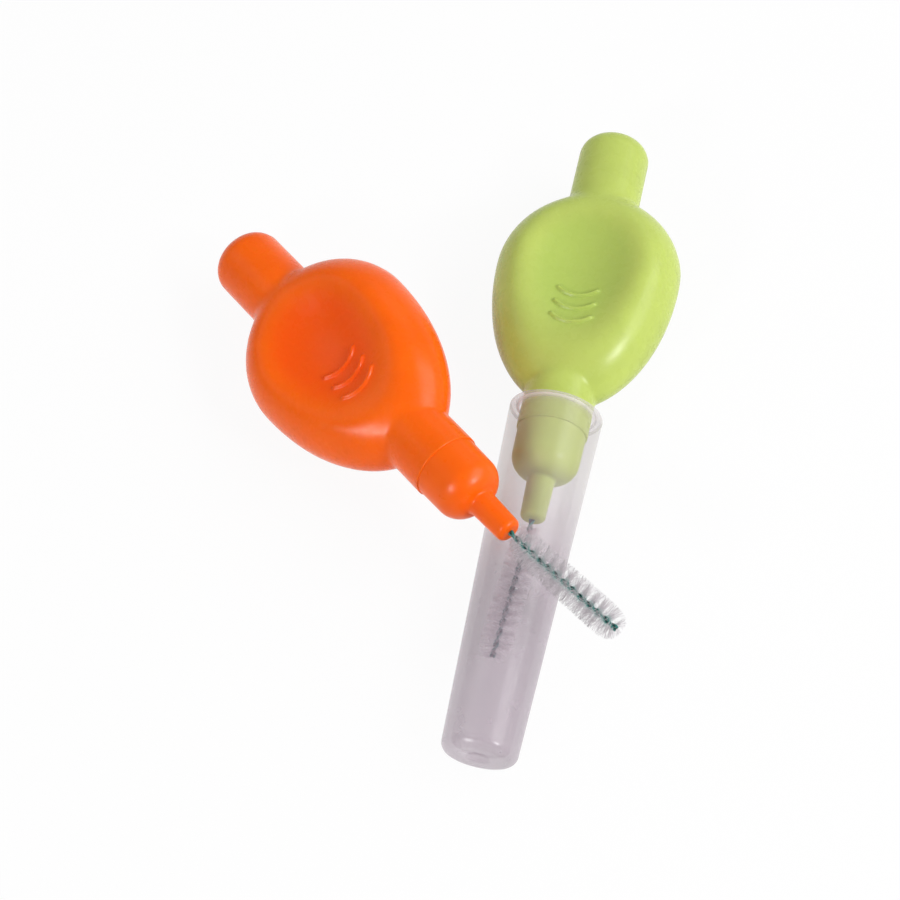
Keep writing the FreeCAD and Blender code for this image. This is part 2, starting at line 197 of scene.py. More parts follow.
class StageSettings(bpy.types.PropertyGroup):
    """Floor, light and camera"""
    look_at: FloatVectorProperty(name="Look at", description="Point in the middle of the picture",
                                 default=(0.004065, -0.002309, 0.0), size=3, subtype="TRANSLATION")
    camera_azimuth: angle("Camera azimuth", "How far the camera stands round to the right", 12.85)
    camera_elevation: angle("Camera elevation", "Height of the camera over the floor", 60.64)
    camera_distance: length("Camera distance", "From the camera to the point it looks at", 0.2)
    lens: FloatProperty(name="Lens", description="Focal length", default=72.0, unit="CAMERA")
    key_power: power("Key light", "Large soft light from the right", 1.58)
    front_power: power("Front light", "Soft light from the front right", 0.75)
    fill_power: power("Fill light", "Low light from the front left", 0.76)
    left_power: power("Left light", "Low light from the left", 0.12)
    back_power: power("Back light", "Low light from behind", 0.10)
    glint_power: power("Glint lights", "Lights that only show as highlights", 1.4)
    sky: share("Sky", "Level of the light from all round", 0.41)
    floor_level: coordinate("Floor level", "Level of the floor, just clear of the brushes", -0.0001)
    sweep_radius: length("Sweep radius", "Radius of the floor up to the wall of the sweep", 3.0)
    sweep_height: length("Sweep height", "Height of the wall of the sweep", 0.6)
    sweep_round: length("Sweep round", "Round between the floor and the wall of the sweep", 0.4)
    floor_colour: colour("Floor", "Colour of the floor", (0.86, 0.85, 0.86))
    floor_white: share("Floor white", "How far the floor is plain white to the camera", 0.93)


def in_millimetres(group):
    """Settings of a group by name, with its lengths in millimetres."""
    values = {}
    for prop in group.bl_rna.properties:
        if prop.identifier in ("rna_type", "name"):
            continue
        value = getattr(group, prop.identifier)
        values[prop.identifier] = value * MM_PER_METRE if getattr(prop, "unit", "") == "LENGTH" else value
    return SimpleNamespace(**values)


# Modelling helpers: pieces are drawn along X in millimetres, then put in their place

CORNER_SEGMENTS = 10
MERGE_DISTANCE = 1e-5
# Share of a crease's softness over which it fades
CREASE_FADE = 0.36


def corner_cut(before, here, after, radius):
    """Length that a round of this radius takes from each side of a corner."""
    turn = (here - before).angle(after - here)
    return radius * math.tan(turn / 2)


def turned(outline, steps, ring_gap):
    """Piece turned about X from half an outline of (x, r, corner round); ring_gap(x) spaces its rings."""
    bm = bmesh.new()
    corners = [bm.verts.new((x, r, 0)) for x, r, _ in outline]
    for pair in zip(corners, corners[1:]):
        bm.edges.new(pair)
    places = [corner.co.copy() for corner in corners]
    for i, (_, _, radius) in enumerate(outline):
        if radius:
            cut = corner_cut(*places[i - 1:i + 2], radius)
            bmesh.ops.bevel(bm, geom=[corners[i]], offset=cut, offset_type="ABSOLUTE",
                            segments=CORNER_SEGMENTS, profile=0.5, affect="VERTICES", material=-1)
    for edge in list(bm.edges):
        middle = (edge.verts[0].co.x + edge.verts[1].co.x) / 2
        cuts = math.ceil(edge.calc_length() / ring_gap(middle)) - 1
        if cuts > 0:
            bmesh.ops.subdivide_edges(bm, edges=[edge], cuts=cuts)
    bmesh.ops.spin(bm, geom=bm.verts[:] + bm.edges[:], cent=(0, 0, 0), axis=(1, 0, 0), angle=TURN,
                   steps=steps, use_merge=True)
    bmesh.ops.remove_doubles(bm, verts=bm.verts, dist=MERGE_DISTANCE)
    bmesh.ops.recalc_face_normals(bm, faces=bm.faces)
    return bm


def finished(bm, name, matrix, material, body, node, sharp=50):
    """Makes a piece of a mesh drawn in millimetres; edges that turn past the sharp angle stay crisp."""
    bmesh.ops.transform(bm, matrix=matrix @ Matrix.Scale(1 / MM_PER_METRE, 4), verts=bm.verts)
    for face in bm.faces:
        face.smooth = True
    mesh = bpy.data.meshes.new(name)
    bm.to_mesh(mesh)
    bm.free()
    mesh.set_sharp_from_angle(angle=math.radians(sharp))
    mesh.materials.append(material)
    piece = bpy.data.objects.new(name, mesh)
    bpy.context.scene.collection.objects.link(piece)
    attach(piece, body)
    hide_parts(node)


def brush_place(tail_mount, roll, sizes):
    """Place of a brush in the frame: X along its axis, Z out of the upper thumb rest."""
    mount = MOUNTS[tail_mount]
    along = -Vector(mount["axis"]).normalized()
    left = Vector((0, 0, 1)).cross(along).normalized()
    turn = Matrix.Rotation(roll, 3, along)
    left = turn @ left
    up = along.cross(left)
    middle = sizes.tail_length - sizes.tail_end_round - mount["dims"]["length_mm"] / 2
    matrix = Matrix((along, left, up)).transposed().to_4x4()
    matrix.translation = Vector(mount["pos_m"]) + along * middle / MM_PER_METRE
    return matrix


def soft_max(first, second, blend):
    """The larger of two heights, with a soft crease that fades out on both sides."""
    run = CREASE_FADE * blend
    return max(first, second) + run * math.log1p(math.exp(-abs(first - second) / run))


def soft_min(first, second, blend):
    """The smaller of two heights, with a soft edge."""
    return -soft_max(-first, -second, blend)


def eased(t):
    """Smooth step from 0 to 1."""
    t = min(max(t, 0), 1)
    return t * t * (3 - 2 * t)


# Grips: creases as shares of the bulb's reach, fades and gaps in millimetres

GRIP_STEPS = 256
GRIP_RING_GAP = 0.25
FINE_RING_GAP = 0.1
TAIL_CREASE = (-1, -0.74)
NECK_CREASE = (0.80, 0.98)
# Weights of the second, fourth and sixth power of the way out from the middle of a bowl
BOWL_TERMS = (1 / 2, 1 / 8, 1 / 6)
RIDGE_LEAD = 1.2
RIDGE_END_FADE = math.radians(7)
RIDGE_FLANK = 1.6
RIDGE_FADE_DEPTH = 0.4
# Cut into the bulb at which a rest's painted shade is full
REST_SHADE_DEPTH = 2.6
ON_AXIS = 1e-6


def bulb_radius(x, side, up, sizes):
    """Distance from the axis to the skin of the bulb in a direction across it; nothing past its ends."""
    reach = sizes.bulb_tail_reach if x < 0 else sizes.bulb_neck_reach
    left = 1 - (x / reach) ** 2
    if left <= 0:
        return 0
    return math.sqrt(left) / math.hypot(2 * side / sizes.bulb_width, 2 * up / sizes.bulb_thickness)


def rest_floor(x, y, sizes):
    """Height of the egg-shaped bowl of a thumb rest over the axis; it steepens outward."""
    run = x - sizes.rest_centre
    reach = sizes.rest_tail_reach if run < 0 else sizes.rest_neck_reach
    out = (run / reach) ** 2 + (2 * y / sizes.rest_width) ** 2
    rise = sum(term * out ** (i + 1) for i, term in enumerate(BOWL_TERMS))
    return sizes.rest_floor_height + sizes.rest_depth_reach * rise


def ridge_rise(x, y, sizes):
    """Height of the curved ridges at a place in the rest."""
    rise = 0
    for i in range(sizes.ridge_count):
        centre = sizes.ridge_first + i * sizes.ridge_spacing - sizes.ridge_radius
        off = abs(math.hypot(x - centre, y) - sizes.ridge_radius)
        if off < sizes.ridge_width / 2:
            swing = abs(math.atan2(y, x - centre))
            end = eased((sizes.ridge_sweep / 2 - swing) / RIDGE_END_FADE)
            rise += sizes.ridge_height * end * eased(RIDGE_FLANK * (1 - 2 * off / sizes.ridge_width))
    return rise


def grip_mesh(sizes):
    """Tail, bulb and neck in one skin, with a thumb rest on each face; hollow marks their depth, which
    sets the painted shade in the rests.
    """
    tail = sizes.tail_diameter / 2
    neck = sizes.neck_diameter / 2
    tail_crease = [part * sizes.bulb_tail_reach for part in TAIL_CREASE]
    ridges = (sizes.ridge_first - RIDGE_LEAD, sizes.ridge_first + sizes.ridge_count * sizes.ridge_spacing)
    neck_crease = [part * sizes.bulb_neck_reach for part in NECK_CREASE]

    def ring_gap(x):
        fine = any(low < x < high for low, high in (tail_crease, ridges, neck_crease))
        return FINE_RING_GAP if fine else GRIP_RING_GAP

    bm = turned([
        (-sizes.tail_length, 0, 0),
        (-sizes.tail_length, tail, sizes.tail_end_round),
        (tail_crease[0], tail, 0),
        (tail_crease[1], tail, 0),
        (0, (tail + neck) / 2, 0),
        (ridges[0], neck, 0),
        (ridges[1], neck, 0),
        (neck_crease[0], neck, 0),
        (neck_crease[1], neck, 0),
        (sizes.neck_length, neck, sizes.neck_edge_round),
        (sizes.neck_length, 0, 0),
    ], GRIP_STEPS, ring_gap)
    hollow = bm.verts.layers.float.new("hollow")
    for vert in bm.verts:
        x, y, z = vert.co
        r = math.hypot(y, z)
        if r < ON_AXIS:
            continue
        side, up = y / r, z / r
        skin = bulb_radius(x, side, up, sizes)
        if skin:
            r = soft_max(r, skin, sizes.tail_root_round if x < 0 else sizes.neck_root_round)
        if abs(up) < ON_AXIS and -sizes.tail_length < x < sizes.neck_length:
            r += sizes.seam_height
        y, z = r * side, r * up
        floor = rest_floor(x, y, sizes)
        depth = abs(z) - floor
        lowered = soft_min(abs(z), floor, sizes.rest_lip_round)
        lowered += ridge_rise(x, y, sizes) * eased(depth / RIDGE_FADE_DEPTH)
        z = math.copysign(lowered, z)
        # Painted shade of the rest, by how far the rest cuts into the bulb
        vert[hollow] = eased(depth / REST_SHADE_DEPTH)
        vert.co = (x, y, z)
    return bm


# Noses: sizes in millimetres

NOSE_STEPS = 96
NOSE_RING_GAP = 0.4
NOSE_SUNK = 0.4
BORE_ROUND = 0.04


def nipple_end(sizes):
    return sizes.neck_length + sizes.nose_length + sizes.nipple_length


def nose_mesh(sizes):
    """Nose and nipple; the shoulder's round runs into the hollow round at the nipple's foot."""
    root = sizes.nipple_root_diameter / 2
    tip = sizes.nipple_tip_diameter / 2
    base = sizes.neck_diameter / 2 - sizes.nose_step
    front = base - sizes.nose_draft
    end = sizes.neck_length + sizes.nose_length
    tip_end = nipple_end(sizes)
    bore = sizes.strand_gap / 2 + sizes.strand_diameter
    rise = root + sizes.nipple_root_round - (front - sizes.nose_round)
    slope = math.asin(max(rise, 0) / (sizes.nose_round + sizes.nipple_root_round))
    touch_x = end - sizes.nose_round * (1 - math.cos(slope))
    touch_r = front - sizes.nose_round * (1 - math.sin(slope))
    return turned([
        (sizes.neck_length - NOSE_SUNK, 0, 0),
        (sizes.neck_length - NOSE_SUNK, base, 0),
        (sizes.neck_length, base, 0),
        (touch_x - math.tan(slope) * (front - touch_r), front, sizes.nose_round),
        (touch_x + math.tan(slope) * (touch_r - root), root, sizes.nipple_root_round),
        (tip_end, tip, sizes.nipple_tip_round),
        (tip_end, bore, BORE_ROUND),
        (tip_end - sizes.stem_sunk, bore, 0),
        (tip_end - sizes.stem_sunk, 0, 0),
    ], NOSE_STEPS, lambda x: NOSE_RING_GAP)


# Stems and filaments: shares of their own sizes, scatter in radians and in shares of a filament

STRAND_SIDES = 12
STRAND_STEPS_PER_TURN = 28
FILAMENT_SIDES = 4
FILAMENT_CUTS = 2
FILAMENT_TIP_SHARE = 0.42
FOOT_SLOPE = 0.55
SHORTEST_SHARE = 0.35
HEADING_SCATTER = 0.36
CURL_SCATTER = 0.90
TIP_LEAN = 0.55
LEAN_SCATTER = 0.04
TRIM_RANGE = (0.985, 1.0)
STEP_RANGE = (0.5, 1.5)


def twist(x, sizes):
    """Angle of the twisted wire at a place along the brush."""
    return TURN * (x - nipple_end(sizes)) / sizes.stem_pitch


def bent(bm, bend, side, sizes):
    """Bends a straight stem, or its filaments, toward one side just past the nipple."""
    lean = Vector((0, math.cos(side), math.sin(side)))
    across = Vector((1, 0, 0)).cross(lean)
    radius = sizes.stem_bend_run / bend
    start = nipple_end(sizes)
    for vert in bm.verts:
        past = vert.co.x - start
        if past <= 0:
            continue
        run = min(past, sizes.stem_bend_run)
        beyond = past - run
        turn = run / radius
        toward = vert.co.dot(lean)
        sideways = vert.co.dot(across)
        along = start + radius * math.sin(turn) + beyond * math.cos(turn) - toward * math.sin(turn)
        off = radius * (1 - math.cos(turn)) + beyond * math.sin(turn) + toward * math.cos(turn)
        vert.co = Vector((along, 0, 0)) + lean * off + across * sideways


def stem_mesh(sizes):
    """Two strands twisted round each other, drawn straight; crest marks what lies outside the grooves, out
    of the painted shade.
    """
    bm = bmesh.new()
    crest = bm.verts.layers.float.new("crest")
    offset = (sizes.strand_gap + sizes.strand_diameter) / 2
    start = nipple_end(sizes) - sizes.stem_sunk
    reach = sizes.stem_sunk + sizes.stem_reach
    turns = reach / sizes.stem_pitch
    steps = round(turns * STRAND_STEPS_PER_TURN)
    lead = math.atan2(TURN * offset, sizes.stem_pitch)
    for half in (0, math.pi):
        centre = Matrix.Rotation(twist(start, sizes) + half, 4, "X") @ Matrix.Translation((0, offset, 0))
        matrix = Matrix.Translation((start, 0, 0)) @ centre
        matrix = matrix @ Matrix.Rotation(-lead, 4, "Y") @ Matrix.Rotation(math.pi / 2, 4, "Y")
        made = bmesh.ops.create_circle(bm, cap_ends=True, radius=sizes.strand_diameter / 2,
                                       segments=STRAND_SIDES, matrix=matrix)
        ring = made["verts"] + list({edge for vert in made["verts"] for edge in vert.link_edges})
        spun = bmesh.ops.spin(bm, geom=ring, cent=(start, 0, 0), axis=(1, 0, 0), angle=TURN * turns,
                              dvec=(reach / steps, 0, 0), steps=steps)
        end = [item for item in spun["geom_last"] if isinstance(item, bmesh.types.BMEdge)]
        bmesh.ops.edgeloop_fill(bm, edges=end)
    bmesh.ops.recalc_face_normals(bm, faces=bm.faces)
    for vert in bm.verts:
        off_axis = math.hypot(vert.co.y, vert.co.z)
        vert[crest] = eased((off_axis - offset / 2) / (offset + sizes.strand_diameter / 4))
    return bm


def bristle_reach(x, sizes):
    """Length of a filament from the axis; the brush is rounded at both ends."""
    reach = sizes.bristle_diameter / 2
    tip_round = sizes.bristle_tip_round
    to_tip = nipple_end(sizes) + sizes.stem_reach - x
    to_foot = x - nipple_end(sizes) - sizes.bristle_start
    drop = 0
    if to_tip < tip_round:
        drop += tip_round - math.sqrt(max(tip_round ** 2 - (tip_round - to_tip) ** 2, 0))
    if to_foot < sizes.bristle_foot_round:
        drop += FOOT_SLOPE * (sizes.bristle_foot_round - to_foot)
    return max(reach - drop, SHORTEST_SHARE * reach)


def filament_blank(sizes):
    """One straight filament along Z, a millimetre long, with a blunt tip."""
    bm = bmesh.new()
    bmesh.ops.create_cone(bm, cap_ends=True, segments=FILAMENT_SIDES, radius1=sizes.filament_thickness / 2,
                          radius2=FILAMENT_TIP_SHARE * sizes.filament_thickness, depth=1.0,
                          matrix=Matrix.Translation((0, 0, 0.5)))
    sides = [edge for edge in bm.edges if abs(edge.verts[0].co.z - edge.verts[1].co.z) > 0.5]
    bmesh.ops.subdivide_edges(bm, edges=sides, cuts=FILAMENT_CUTS, use_grid_fill=True)
    mesh = bpy.data.meshes.new("filament_blank")
    bm.to_mesh(mesh)
    bm.free()
    return mesh


def bristle_mesh(sizes, seed, cap_light_share):
    """Filaments on the straight stem; tip marks the way to their ends, and a second mark how far they take
    the painted light inside a cap.
    """
    chance = random.Random(seed)
    blank = filament_blank(sizes)
    bm = bmesh.new()
    tip = bm.verts.layers.float.new("tip")
    pale = bm.verts.layers.float.new("pale")
    x = nipple_end(sizes) + sizes.bristle_start
    last = nipple_end(sizes) + sizes.stem_reach - sizes.strand_diameter
    while x < last:
        heading = twist(x, sizes) + math.pi / 2 + chance.gauss(0, HEADING_SCATTER)
        forward = TIP_LEAN * eased(1 - (last - x) / sizes.bristle_tip_round)
        for half in (0, math.pi):
            reach = bristle_reach(x, sizes) * chance.uniform(*TRIM_RANGE)
            lean = forward + chance.gauss(0, LEAN_SCATTER)
            curl = chance.gauss(0, CURL_SCATTER)
            before = len(bm.verts)
            bm.from_mesh(blank)
            bm.verts.ensure_lookup_table()
            place = Matrix.Translation((x, 0, 0)) @ Matrix.Rotation(heading + half, 4, "X")
            for vert in bm.verts[before:]:
                out = vert.co.z * reach
                vert[tip] = vert.co.z
                # Painted light for filaments inside a cap
                vert[pale] = cap_light_share
                swing = curl * vert.co.z
                off = Vector((0, out * math.sin(swing), out * math.cos(swing)))
                vert.co = place @ (Vector((vert.co.x + lean * out, vert.co.y, 0)) + off)
        x += sizes.filament_spacing * chance.uniform(*STEP_RANGE)
    bpy.data.meshes.remove(blank)
    return bm


# Travel cap: sizes in millimetres

CAP_STEPS = 128
CAP_RING_GAP = 0.5
LEAD_IN_ROUND = 0.06
GATE_RIM_ROUND = 0.08
GATE_FLOOR_ROUND = 0.1
# How far the painted highlights spread from an edge
HIGHLIGHT_FADE = 0.30


def cap_mesh(sizes, cap):
    """Cap with its seat on the neck; along and outer mark its length and outer skin, and a third mark the
    painted highlights along its edges.
    """
    land = sizes.neck_diameter / 2 + cap.fit_gap
    rim = land + cap.rim_wall
    end = cap.rim_place + cap.cap_length
    floor = end - cap.end_wall
    gate = cap.gate_diameter / 2
    bm = turned([
        (floor, 0, 0),
        (floor, cap.end_diameter / 2 - cap.side_wall, cap.floor_round),
        (cap.rim_place + cap.land_length, land, 0),
        (cap.rim_place + cap.lead_in, land, 0),
        (cap.rim_place, land + cap.lead_in, LEAD_IN_ROUND),
        (cap.rim_place, rim, cap.edge_round),
        (end, cap.end_diameter / 2, cap.end_round),
        (end, gate, GATE_RIM_ROUND),
        (end - cap.gate_depth, gate - cap.gate_depth, GATE_FLOOR_ROUND),
        (end - cap.gate_depth, 0, 0),
    ], CAP_STEPS, lambda x: CAP_RING_GAP)
    along = bm.verts.layers.float.new("along")
    outer = bm.verts.layers.float.new("outer")
    frost = bm.verts.layers.float.new("frost")
    # Edges with painted highlights: outside and inside of the rim, and the corner of the inner floor
    edges = (Vector((cap.rim_place, rim)), Vector((cap.rim_place, land + cap.lead_in)),
             Vector((floor, cap.end_diameter / 2 - cap.side_wall)))
    for vert in bm.verts:
        x, r = vert.co.x, math.hypot(vert.co.y, vert.co.z)
        run = (x - cap.rim_place) / cap.cap_length
        slope = (rim + land) / 2 * (1 - run) + (cap.end_diameter - cap.side_wall) / 2 * run
        vert[along] = run
        vert[outer] = 1.0 if r > slope or x > (floor + end) / 2 else 0.0
        vert[frost] = max(math.exp(-(Vector((x, r)) - edge).length / HIGHLIGHT_FADE) for edge in edges)
    return bm


# Materials

# Where most of the noise lies
NOISE_RANGE = (0.3, 0.7)
# How far red, green and blue light spread under a skin, against each other
GLOW = {"orange": (1.0, 0.30, 0.08), "lime": (0.7, 0.8, 0.3)}


def new_material(name):
    material = bpy.data.materials.new(name)
    material.use_nodes = True
    return material, material.node_tree, material.node_tree.nodes["Principled BSDF"]


def noise(tree, scale, detail, stretch=None):
    """Noise in the frame's own metres."""
    place = tree.nodes.new("ShaderNodeTexCoord").outputs["Object"]
    if stretch:
        mapping = tree.nodes.new("ShaderNodeMapping")
        mapping.inputs["Scale"].default_value = stretch
        tree.links.new(place, mapping.inputs["Vector"])
        place = mapping.outputs["Vector"]
    texture = tree.nodes.new("ShaderNodeTexNoise")
    texture.inputs["Scale"].default_value = scale
    texture.inputs["Detail"].default_value = detail
    tree.links.new(place, texture.inputs["Vector"])
    return texture.outputs["Fac"]


def attribute(tree, name):
    node = tree.nodes.new("ShaderNodeAttribute")
    node.attribute_name = name
    return node.outputs["Fac"]


def spread(tree, value, low, high, first=0.0, last=1.0):
    """Value from first to last, spread from low to high."""
    node = tree.nodes.new("ShaderNodeMapRange")
    for socket, number in zip(("From Min", "From Max", "To Min", "To Max"), (first, last, low, high)):
        node.inputs[socket].default_value = number
    tree.links.new(value, node.inputs["Value"])
    return node.outputs["Result"]


def ramp(tree, value, stops):
    """Colours along a value."""
    node = tree.nodes.new("ShaderNodeValToRGB")
    elements = node.color_ramp.elements
    while len(elements) < len(stops):
        elements.new(0.5)
    for element, (where, tone) in zip(elements, stops):
        element.position = where
        element.color = (*tone, 1)
    tree.links.new(value, node.inputs["Fac"])
    return node.outputs["Color"]


def mixed(tree, amount, first, second):
    """Two colours mixed; a colour is a socket or three numbers."""
    node = tree.nodes.new("ShaderNodeMix")
    node.data_type = "RGBA"
    tree.links.new(amount, node.inputs[0])
    for socket, tone in ((node.inputs[6], first), (node.inputs[7], second)):
        if isinstance(tone, bpy.types.NodeSocket):
            tree.links.new(tone, socket)
        else:
            socket.default_value = (*tone, 1)
    return node.outputs[2]


def combined(tree, operation, first, second):
    """One value out of two, by the named operation."""
    node = tree.nodes.new("ShaderNodeMath")
    node.operation = operation
    tree.links.new(first, node.inputs[0])
    tree.links.new(second, node.inputs[1])
    return node.outputs["Value"]


def bump(tree, height, distance, strength, below=None):
    node = tree.nodes.new("ShaderNodeBump")
    node.inputs["Distance"].default_value = distance
    node.inputs["Strength"].default_value = strength
    tree.links.new(height, node.inputs["Height"])
    if below:
        tree.links.new(below, node.inputs["Normal"])
    return node.outputs["Normal"]


def tinted(tone, factor):
    return tuple(min(channel * factor, 1) for channel in tone)


def wandering(tree, scale, detail, low, high):
    """Value that wanders between two limits over the surface."""
    return spread(tree, noise(tree, scale, detail), low, high, *NOISE_RANGE)


def clouded(tree, tone, scale, detail, dim, bright):
    """Colour that drifts from dimmer to brighter over the surface."""
    stops = [(where, tinted(tone, factor)) for where, factor in zip(NOISE_RANGE, (dim, bright))]
    return ramp(tree, noise(tree, scale, detail), stops)


def lit_within(skin, glow, depth):
    """Gives a plastic its low gloss and the light that spreads under its skin."""
    skin.inputs["Specular IOR Level"].default_value = 0.18
    skin.inputs["Subsurface Weight"].default_value = 0.15
    skin.inputs["Subsurface Radius"].default_value = glow
    skin.inputs["Subsurface Scale"].default_value = depth


def soft_plastic(name, tone, shade_tone, glow, rough):
    """Soft moulded rubber: cloudy colour, with painted shade in the rests, and a fine satin skin."""
    material, tree, skin = new_material(name)
    cloud = clouded(tree, tone, scale=160, detail=3, dim=0.92, bright=1.05)
    # Painted shade: the rests take the darker tone by their depth
    depth = spread(tree, attribute(tree, "hollow"), 0.0, 0.75)
    tree.links.new(mixed(tree, depth, cloud, shade_tone), skin.inputs["Base Color"])
    satin = wandering(tree, scale=900, detail=2, low=rough - 0.05, high=rough + 0.05)
    tree.links.new(satin, skin.inputs["Roughness"])
    waves = bump(tree, noise(tree, scale=420, detail=1), distance=0.00002, strength=0.10)
    grain = bump(tree, noise(tree, scale=2400, detail=1), distance=0.000003, strength=0.10, below=waves)
    tree.links.new(grain, skin.inputs["Normal"])
    lit_within(skin, glow, depth=0.0022)
    return material


def hard_plastic(name, tone, glow):
    """Smooth moulded plastic of the nose."""
    material, tree, skin = new_material(name)
    cloud = clouded(tree, tone, scale=240, detail=2, dim=0.95, bright=1.04)
    tree.links.new(cloud, skin.inputs["Base Color"])
    satin = wandering(tree, scale=1800, detail=2, low=0.27, high=0.37)
    tree.links.new(satin, skin.inputs["Roughness"])
    grain = bump(tree, noise(tree, scale=900, detail=1), distance=0.00001, strength=0.25)
    tree.links.new(grain, skin.inputs["Normal"])
    lit_within(skin, glow, depth=0.0018)
    return material


def coated_wire(tone, shade_tone):
    """Wire with a thin plastic coating, with painted shade in the grooves of the twist."""
    material, tree, skin = new_material("coated_wire")
    # Painted shade in the grooves, a little uneven over the wire
    shade_jitter = wandering(tree, scale=5000, detail=2, low=0.75, high=1.15)
    crest = combined(tree, "MULTIPLY", attribute(tree, "crest"), shade_jitter)
    tree.links.new(mixed(tree, crest, shade_tone, tone), skin.inputs["Base Color"])
    satin = wandering(tree, scale=7000, detail=1, low=0.28, high=0.42)
    tree.links.new(satin, skin.inputs["Roughness"])
    grain = bump(tree, noise(tree, scale=9000, detail=2), distance=0.000004, strength=0.5)
    tree.links.new(grain, skin.inputs["Normal"])
    return material


def clear_nylon(tone, root, pale):
    """Thin nylon: tinted by the wire at its root, greyer at the tips, with painted light inside a cap."""
    material, tree, skin = new_material("clear_nylon")
    stops = [(0.0, root), (0.16, root), (0.40, tone), (0.80, tone), (1.0, tinted(tone, 0.74))]
    body = ramp(tree, attribute(tree, "tip"), stops)
    # Painted light: filaments in a cap take the paler tone
    tree.links.new(mixed(tree, attribute(tree, "pale"), body, pale), skin.inputs["Base Color"])
    satin = wandering(tree, scale=2500, detail=1, low=0.30, high=0.45)
    tree.links.new(satin, skin.inputs["Roughness"])
    skin.inputs["IOR"].default_value = 1.45
    return material


def frosted_plastic(tone, rim_tone, highlight_tone):
    """Frosted clear plastic: a veil on the outer skin, clearer round the neck, with painted highlights
    along the edges.

    Frosting scatters light inward, so the veil shades what is inside less than it hides it.
    """
    material, tree, skin = new_material("frosted_plastic")
    along = attribute(tree, "along")
    frost = attribute(tree, "frost")
    seat_end, body_start = 0.20, 0.48
    stops = [(0.0, rim_tone), (seat_end, rim_tone), (body_start, tone), (1.0, tone)]
    body = ramp(tree, along, stops)
    # Painted highlights along the edges: a whiter colour, and less clear
    tree.links.new(mixed(tree, frost, body, highlight_tone), skin.inputs["Base Color"])
    veil = spread(tree, along, low=0.27, high=0.48, first=seat_end, last=body_start)
    outer = spread(tree, attribute(tree, "outer"), low=0.12, high=1.0)
    edges = spread(tree, frost, low=0.0, high=0.92)
    hiding = combined(tree, "MAXIMUM", combined(tree, "MULTIPLY", veil, outer), edges)
    light = tree.nodes.new("ShaderNodeLightPath")
    shading = spread(tree, light.outputs["Is Shadow Ray"], low=1.0, high=0.3)
    tree.links.new(combined(tree, "MULTIPLY", hiding, shading), skin.inputs["Alpha"])
    satin = wandering(tree, scale=500, detail=2, low=0.20, high=0.28)
    tree.links.new(satin, skin.inputs["Roughness"])
    draw_lines = noise(tree, scale=500, detail=1, stretch=(1.0, 0.02, 1.0))
    tree.links.new(bump(tree, draw_lines, distance=0.00002, strength=0.06), skin.inputs["Normal"])
    return material


# Stage: lamps by azimuth and elevation in degrees, width and height in metres, and power

SWEEP_STEPS = 96
SWEEP_SEGMENTS = 12
SENSOR_WIDTH = 36.0
NEAREST_SEEN = 0.01
TOWARD_CAMERA = 180
LAMP_DISTANCE = 0.55
LAMPS = {
    "key_light": (82, 42, (0.34, 0.34), "key_power"),
    "front_light": (122, 40, (0.10, 0.10), "front_power"),
    "fill_light": (-141, 32, (0.10, 0.08), "fill_power"),
    "left_light": (-70, 34, (0.24, 0.20), "left_power"),
    "front_glint": (118, 40, (0.14, 0.10), "glint_power"),
    "fill_glint": (-128, 34, (0.14, 0.10), "glint_power"),
    "back_light": (20, 36, (0.24, 0.20), "back_power"),
}


def seen_directly(tree):
    """1 for what the camera, a reflection or a clear piece sees, 0 for the light that falls on things."""
    path = tree.nodes.new("ShaderNodeLightPath")
    total = path.outputs["Is Camera Ray"]
    for name in ("Is Glossy Ray", "Is Transmission Ray"):
        total = combined(tree, "MAXIMUM", total, path.outputs[name])
    return total


def floor_material(tone, white):
    """Pale matt floor that is nearly plain white to the camera, and keeps a trace of the shadows."""
    material, tree, skin = new_material("studio_floor")
    cloud = clouded(tree, tone, scale=40, detail=2, dim=0.995, bright=1.0)
    tree.links.new(cloud, skin.inputs["Base Color"])
    skin.inputs["Roughness"].default_value = 0.9
    skin.inputs["Specular IOR Level"].default_value = 0.0
    plain = tree.nodes.new("ShaderNodeEmission")
    both = tree.nodes.new("ShaderNodeMixShader")
    tree.links.new(spread(tree, seen_directly(tree), low=0.0, high=white), both.inputs["Fac"])
    tree.links.new(skin.outputs["BSDF"], both.inputs[1])
    tree.links.new(plain.outputs["Emission"], both.inputs[2])
    tree.links.new(both.outputs["Shader"], tree.nodes["Material Output"].inputs["Surface"])
    return material


def sweep_mesh(level, radius, height, corner):
    """Floor that turns up into a low wall all round."""
    bm = bmesh.new()
    corners = [bm.verts.new(place) for place in ((0, 0, level), (radius, 0, level), (radius, 0, height))]
    for pair in zip(corners, corners[1:]):
        bm.edges.new(pair)
    bmesh.ops.bevel(bm, geom=[corners[1]], offset=corner, offset_type="ABSOLUTE", segments=SWEEP_SEGMENTS,
                    profile=0.5, affect="VERTICES", material=-1)
    bmesh.ops.spin(bm, geom=bm.verts[:] + bm.edges[:], cent=(0, 0, 0), axis=(0, 0, 1), angle=TURN,
                   steps=SWEEP_STEPS, use_merge=True)
    bmesh.ops.remove_doubles(bm, verts=bm.verts, dist=MERGE_DISTANCE)
    for face in bm.faces:
        face.smooth = True
    return bm


def from_view(stage, azimuth, elevation, distance):
    """Place round the middle of the picture; the azimuth turns clockwise from straight away."""
    away = Vector((-math.sin(stage.camera_azimuth), math.cos(stage.camera_azimuth), 0))
    right = Vector((away.y, -away.x, 0))
    turn, rise = math.radians(azimuth), math.radians(elevation)
    level = right * math.sin(turn) + away * math.cos(turn)
    return Vector(stage.look_at) + (level * math.cos(rise) + Vector((0, 0, math.sin(rise)))) * distance


def aimed(obj, place, target):
    """Puts a lamp or a camera in its place and turns it to its target."""
    obj.location = place
    obj.rotation_euler = (Vector(target) - place).to_track_quat("-Z", "Y").to_euler()
    bpy.context.scene.collection.objects.link(obj)


